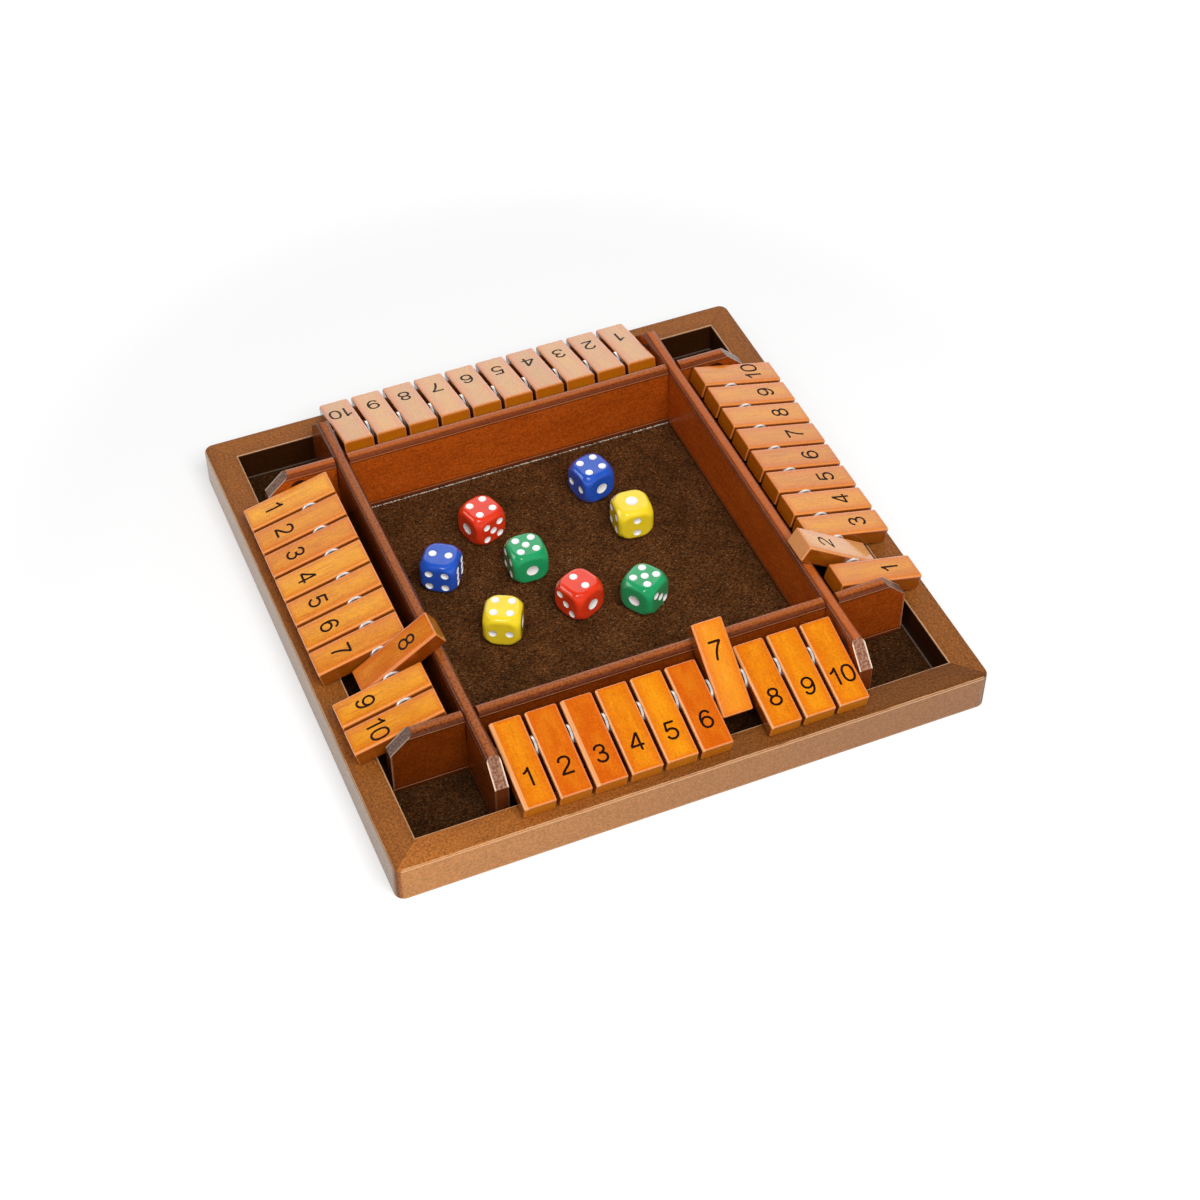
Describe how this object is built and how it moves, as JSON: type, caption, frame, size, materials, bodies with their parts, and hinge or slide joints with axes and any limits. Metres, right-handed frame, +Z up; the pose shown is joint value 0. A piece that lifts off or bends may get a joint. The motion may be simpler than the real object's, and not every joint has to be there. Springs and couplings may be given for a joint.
{
  "type": "four-sided shut the box game",
  "caption": "Square wooden tray with a felt dice floor between crossing dividers, rows of numbered tiles that tip over on steel rods along all sides, and dice.",
  "frame": {"origin": "middle of the underside, on the table", "axes": "+Z up, +X along the front row from its tile 1 to its tile 10, +Y from the front row to the back row"},
  "size_m": [0.3, 0.3, 0.0536],
  "materials": {
    "plywood": "bare plywood",
    "brown_felt": "short-pile felt",
    "steel_rod": "drawn steel",
    "walnut_stained_wood": "walnut stain under satin lacquer",
    "red_brown_wood": "red-brown stain under satin lacquer",
    "amber_wood": "amber lacquer",
    "honey_wood": "honey lacquer",
    "pale_wood": "pale lacquer",
    "tan_wood": "tan lacquer",
    "red_plastic": "gloss",
    "blue_plastic": "gloss",
    "green_plastic": "gloss",
    "yellow_plastic": "gloss"
  },
  "bodies": {
    "board": {"base_board": "plywood", "felt_lining": "brown_felt", "front_rail": "walnut_stained_wood", "left_rail": "walnut_stained_wood", "back_rail": "walnut_stained_wood", "right_rail": "walnut_stained_wood", "front_divider": "red_brown_wood", "left_divider": "red_brown_wood", "back_divider": "red_brown_wood", "right_divider": "red_brown_wood", "pivot_rods": "steel_rod", "rod_washers": "steel_rod"},
    "front_tile_1": {"front_tile_1": "amber_wood"},
    "front_tile_2": {"front_tile_2": "amber_wood"},
    "front_tile_3": {"front_tile_3": "amber_wood"},
    "front_tile_4": {"front_tile_4": "amber_wood"},
    "front_tile_5": {"front_tile_5": "amber_wood"},
    "front_tile_6": {"front_tile_6": "amber_wood"},
    "front_tile_7": {"front_tile_7": "amber_wood"},
    "front_tile_8": {"front_tile_8": "amber_wood"},
    "front_tile_9": {"front_tile_9": "amber_wood"},
    "front_tile_10": {"front_tile_10": "amber_wood"},
    "left_tile_1": {"left_tile_1": "honey_wood"},
    "left_tile_2": {"left_tile_2": "honey_wood"},
    "left_tile_3": {"left_tile_3": "honey_wood"},
    "left_tile_4": {"left_tile_4": "honey_wood"},
    "left_tile_5": {"left_tile_5": "honey_wood"},
    "left_tile_6": {"left_tile_6": "honey_wood"},
    "left_tile_7": {"left_tile_7": "honey_wood"},
    "left_tile_8": {"left_tile_8": "honey_wood"},
    "left_tile_9": {"left_tile_9": "honey_wood"},
    "left_tile_10": {"left_tile_10": "honey_wood"},
    "back_tile_1": {"back_tile_1": "pale_wood"},
    "back_tile_2": {"back_tile_2": "pale_wood"},
    "back_tile_3": {"back_tile_3": "pale_wood"},
    "back_tile_4": {"back_tile_4": "pale_wood"},
    "back_tile_5": {"back_tile_5": "pale_wood"},
    "back_tile_6": {"back_tile_6": "pale_wood"},
    "back_tile_7": {"back_tile_7": "pale_wood"},
    "back_tile_8": {"back_tile_8": "pale_wood"},
    "back_tile_9": {"back_tile_9": "pale_wood"},
    "back_tile_10": {"back_tile_10": "pale_wood"},
    "right_tile_1": {"right_tile_1": "tan_wood"},
    "right_tile_2": {"right_tile_2": "tan_wood"},
    "right_tile_3": {"right_tile_3": "tan_wood"},
    "right_tile_4": {"right_tile_4": "tan_wood"},
    "right_tile_5": {"right_tile_5": "tan_wood"},
    "right_tile_6": {"right_tile_6": "tan_wood"},
    "right_tile_7": {"right_tile_7": "tan_wood"},
    "right_tile_8": {"right_tile_8": "tan_wood"},
    "right_tile_9": {"right_tile_9": "tan_wood"},
    "right_tile_10": {"right_tile_10": "tan_wood"},
    "red_die_1": {"red_die_1": "red_plastic"},
    "red_die_2": {"red_die_2": "red_plastic"},
    "blue_die_1": {"blue_die_1": "blue_plastic"},
    "blue_die_2": {"blue_die_2": "blue_plastic"},
    "green_die_1": {"green_die_1": "green_plastic"},
    "green_die_2": {"green_die_2": "green_plastic"},
    "yellow_die_1": {"yellow_die_1": "yellow_plastic"},
    "yellow_die_2": {"yellow_die_2": "yellow_plastic"}
  },
  "joints": [
    {"name": "front_tile_1_flip", "type": "hinge", "parent": "board", "child": "front_tile_1", "pos_m": [-0.07875, -0.1155, 0.033], "axis": [-1, 0, 0], "range_deg": [0, 160.24]},
    {"name": "front_tile_2_flip", "type": "hinge", "parent": "board", "child": "front_tile_2", "pos_m": [-0.06125, -0.1155, 0.033], "axis": [-1, 0, 0], "range_deg": [0, 160.24]},
    {"name": "front_tile_3_flip", "type": "hinge", "parent": "board", "child": "front_tile_3", "pos_m": [-0.04375, -0.1155, 0.033], "axis": [-1, 0, 0], "range_deg": [0, 160.24]},
    {"name": "front_tile_4_flip", "type": "hinge", "parent": "board", "child": "front_tile_4", "pos_m": [-0.02625, -0.1155, 0.033], "axis": [-1, 0, 0], "range_deg": [0, 160.24]},
    {"name": "front_tile_5_flip", "type": "hinge", "parent": "board", "child": "front_tile_5", "pos_m": [-0.00875, -0.1155, 0.033], "axis": [-1, 0, 0], "range_deg": [0, 160.24]},
    {"name": "front_tile_6_flip", "type": "hinge", "parent": "board", "child": "front_tile_6", "pos_m": [0.00875, -0.1155, 0.033], "axis": [-1, 0, 0], "range_deg": [0, 160.24]},
    {"name": "front_tile_7_flip", "type": "hinge", "parent": "board", "child": "front_tile_7", "pos_m": [0.02625, -0.1155, 0.033], "axis": [-1, 0, 0], "range_deg": [-160.24, 0]},
    {"name": "front_tile_8_flip", "type": "hinge", "parent": "board", "child": "front_tile_8", "pos_m": [0.04375, -0.1155, 0.033], "axis": [-1, 0, 0], "range_deg": [0, 160.24]},
    {"name": "front_tile_9_flip", "type": "hinge", "parent": "board", "child": "front_tile_9", "pos_m": [0.06125, -0.1155, 0.033], "axis": [-1, 0, 0], "range_deg": [0, 160.24]},
    {"name": "front_tile_10_flip", "type": "hinge", "parent": "board", "child": "front_tile_10", "pos_m": [0.07875, -0.1155, 0.033], "axis": [-1, 0, 0], "range_deg": [0, 160.24]},
    {"name": "left_tile_1_flip", "type": "hinge", "parent": "board", "child": "left_tile_1", "pos_m": [-0.1155, 0.07875, 0.033], "axis": [0, 1, 0], "range_deg": [0, 160.24]},
    {"name": "left_tile_2_flip", "type": "hinge", "parent": "board", "child": "left_tile_2", "pos_m": [-0.1155, 0.06125, 0.033], "axis": [0, 1, 0], "range_deg": [0, 160.24]},
    {"name": "left_tile_3_flip", "type": "hinge", "parent": "board", "child": "left_tile_3", "pos_m": [-0.1155, 0.04375, 0.033], "axis": [0, 1, 0], "range_deg": [0, 160.24]},
    {"name": "left_tile_4_flip", "type": "hinge", "parent": "board", "child": "left_tile_4", "pos_m": [-0.1155, 0.02625, 0.033], "axis": [0, 1, 0], "range_deg": [0, 160.24]},
    {"name": "left_tile_5_flip", "type": "hinge", "parent": "board", "child": "left_tile_5", "pos_m": [-0.1155, 0.00875, 0.033], "axis": [0, 1, 0], "range_deg": [0, 160.24]},
    {"name": "left_tile_6_flip", "type": "hinge", "parent": "board", "child": "left_tile_6", "pos_m": [-0.1155, -0.00875, 0.033], "axis": [0, 1, 0], "range_deg": [0, 160.24]},
    {"name": "left_tile_7_flip", "type": "hinge", "parent": "board", "child": "left_tile_7", "pos_m": [-0.1155, -0.02625, 0.033], "axis": [0, 1, 0], "range_deg": [0, 160.24]},
    {"name": "left_tile_8_flip", "type": "hinge", "parent": "board", "child": "left_tile_8", "pos_m": [-0.1155, -0.04375, 0.033], "axis": [0, 1, 0], "range_deg": [-160.24, 0]},
    {"name": "left_tile_9_flip", "type": "hinge", "parent": "board", "child": "left_tile_9", "pos_m": [-0.1155, -0.06125, 0.033], "axis": [0, 1, 0], "range_deg": [0, 160.24]},
    {"name": "left_tile_10_flip", "type": "hinge", "parent": "board", "child": "left_tile_10", "pos_m": [-0.1155, -0.07875, 0.033], "axis": [0, 1, 0], "range_deg": [0, 160.24]},
    {"name": "back_tile_1_flip", "type": "hinge", "parent": "board", "child": "back_tile_1", "pos_m": [0.07875, 0.1155, 0.033], "axis": [1, 0, 0], "range_deg": [0, 160.24]},
    {"name": "back_tile_2_flip", "type": "hinge", "parent": "board", "child": "back_tile_2", "pos_m": [0.06125, 0.1155, 0.033], "axis": [1, 0, 0], "range_deg": [0, 160.24]},
    {"name": "back_tile_3_flip", "type": "hinge", "parent": "board", "child": "back_tile_3", "pos_m": [0.04375, 0.1155, 0.033], "axis": [1, 0, 0], "range_deg": [0, 160.24]},
    {"name": "back_tile_4_flip", "type": "hinge", "parent": "board", "child": "back_tile_4", "pos_m": [0.02625, 0.1155, 0.033], "axis": [1, 0, 0], "range_deg": [0, 160.24]},
    {"name": "back_tile_5_flip", "type": "hinge", "parent": "board", "child": "back_tile_5", "pos_m": [0.00875, 0.1155, 0.033], "axis": [1, 0, 0], "range_deg": [0, 160.24]},
    {"name": "back_tile_6_flip", "type": "hinge", "parent": "board", "child": "back_tile_6", "pos_m": [-0.00875, 0.1155, 0.033], "axis": [1, 0, 0], "range_deg": [0, 160.24]},
    {"name": "back_tile_7_flip", "type": "hinge", "parent": "board", "child": "back_tile_7", "pos_m": [-0.02625, 0.1155, 0.033], "axis": [1, 0, 0], "range_deg": [0, 160.24]},
    {"name": "back_tile_8_flip", "type": "hinge", "parent": "board", "child": "back_tile_8", "pos_m": [-0.04375, 0.1155, 0.033], "axis": [1, 0, 0], "range_deg": [0, 160.24]},
    {"name": "back_tile_9_flip", "type": "hinge", "parent": "board", "child": "back_tile_9", "pos_m": [-0.06125, 0.1155, 0.033], "axis": [1, 0, 0], "range_deg": [0, 160.24]},
    {"name": "back_tile_10_flip", "type": "hinge", "parent": "board", "child": "back_tile_10", "pos_m": [-0.07875, 0.1155, 0.033], "axis": [1, 0, 0], "range_deg": [0, 160.24]},
    {"name": "right_tile_1_flip", "type": "hinge", "parent": "board", "child": "right_tile_1", "pos_m": [0.1155, -0.07875, 0.033], "axis": [0, -1, 0], "range_deg": [0, 160.24]},
    {"name": "right_tile_2_flip", "type": "hinge", "parent": "board", "child": "right_tile_2", "pos_m": [0.1155, -0.06125, 0.033], "axis": [0, -1, 0], "range_deg": [-160.24, 0]},
    {"name": "right_tile_3_flip", "type": "hinge", "parent": "board", "child": "right_tile_3", "pos_m": [0.1155, -0.04375, 0.033], "axis": [0, -1, 0], "range_deg": [0, 160.24]},
    {"name": "right_tile_4_flip", "type": "hinge", "parent": "board", "child": "right_tile_4", "pos_m": [0.1155, -0.02625, 0.033], "axis": [0, -1, 0], "range_deg": [0, 160.24]},
    {"name": "right_tile_5_flip", "type": "hinge", "parent": "board", "child": "right_tile_5", "pos_m": [0.1155, -0.00875, 0.033], "axis": [0, -1, 0], "range_deg": [0, 160.24]},
    {"name": "right_tile_6_flip", "type": "hinge", "parent": "board", "child": "right_tile_6", "pos_m": [0.1155, 0.00875, 0.033], "axis": [0, -1, 0], "range_deg": [0, 160.24]},
    {"name": "right_tile_7_flip", "type": "hinge", "parent": "board", "child": "right_tile_7", "pos_m": [0.1155, 0.02625, 0.033], "axis": [0, -1, 0], "range_deg": [0, 160.24]},
    {"name": "right_tile_8_flip", "type": "hinge", "parent": "board", "child": "right_tile_8", "pos_m": [0.1155, 0.04375, 0.033], "axis": [0, -1, 0], "range_deg": [0, 160.24]},
    {"name": "right_tile_9_flip", "type": "hinge", "parent": "board", "child": "right_tile_9", "pos_m": [0.1155, 0.06125, 0.033], "axis": [0, -1, 0], "range_deg": [0, 160.24]},
    {"name": "right_tile_10_flip", "type": "hinge", "parent": "board", "child": "right_tile_10", "pos_m": [0.1155, 0.07875, 0.033], "axis": [0, -1, 0], "range_deg": [0, 160.24]},
    {"name": "red_die_1_lift", "type": "slide", "parent": "board", "child": "red_die_1", "axis": [0, 0, 1], "range_m": [0, 0.06]},
    {"name": "red_die_2_lift", "type": "slide", "parent": "board", "child": "red_die_2", "axis": [0, 0, 1], "range_m": [0, 0.06]},
    {"name": "blue_die_1_lift", "type": "slide", "parent": "board", "child": "blue_die_1", "axis": [0, 0, 1], "range_m": [0, 0.06]},
    {"name": "blue_die_2_lift", "type": "slide", "parent": "board", "child": "blue_die_2", "axis": [0, 0, 1], "range_m": [0, 0.06]},
    {"name": "green_die_1_lift", "type": "slide", "parent": "board", "child": "green_die_1", "axis": [0, 0, 1], "range_m": [0, 0.06]},
    {"name": "green_die_2_lift", "type": "slide", "parent": "board", "child": "green_die_2", "axis": [0, 0, 1], "range_m": [0, 0.06]},
    {"name": "yellow_die_1_lift", "type": "slide", "parent": "board", "child": "yellow_die_1", "axis": [0, 0, 1], "range_m": [0, 0.06]},
    {"name": "yellow_die_2_lift", "type": "slide", "parent": "board", "child": "yellow_die_2", "axis": [0, 0, 1], "range_m": [0, 0.06]}
  ]
}
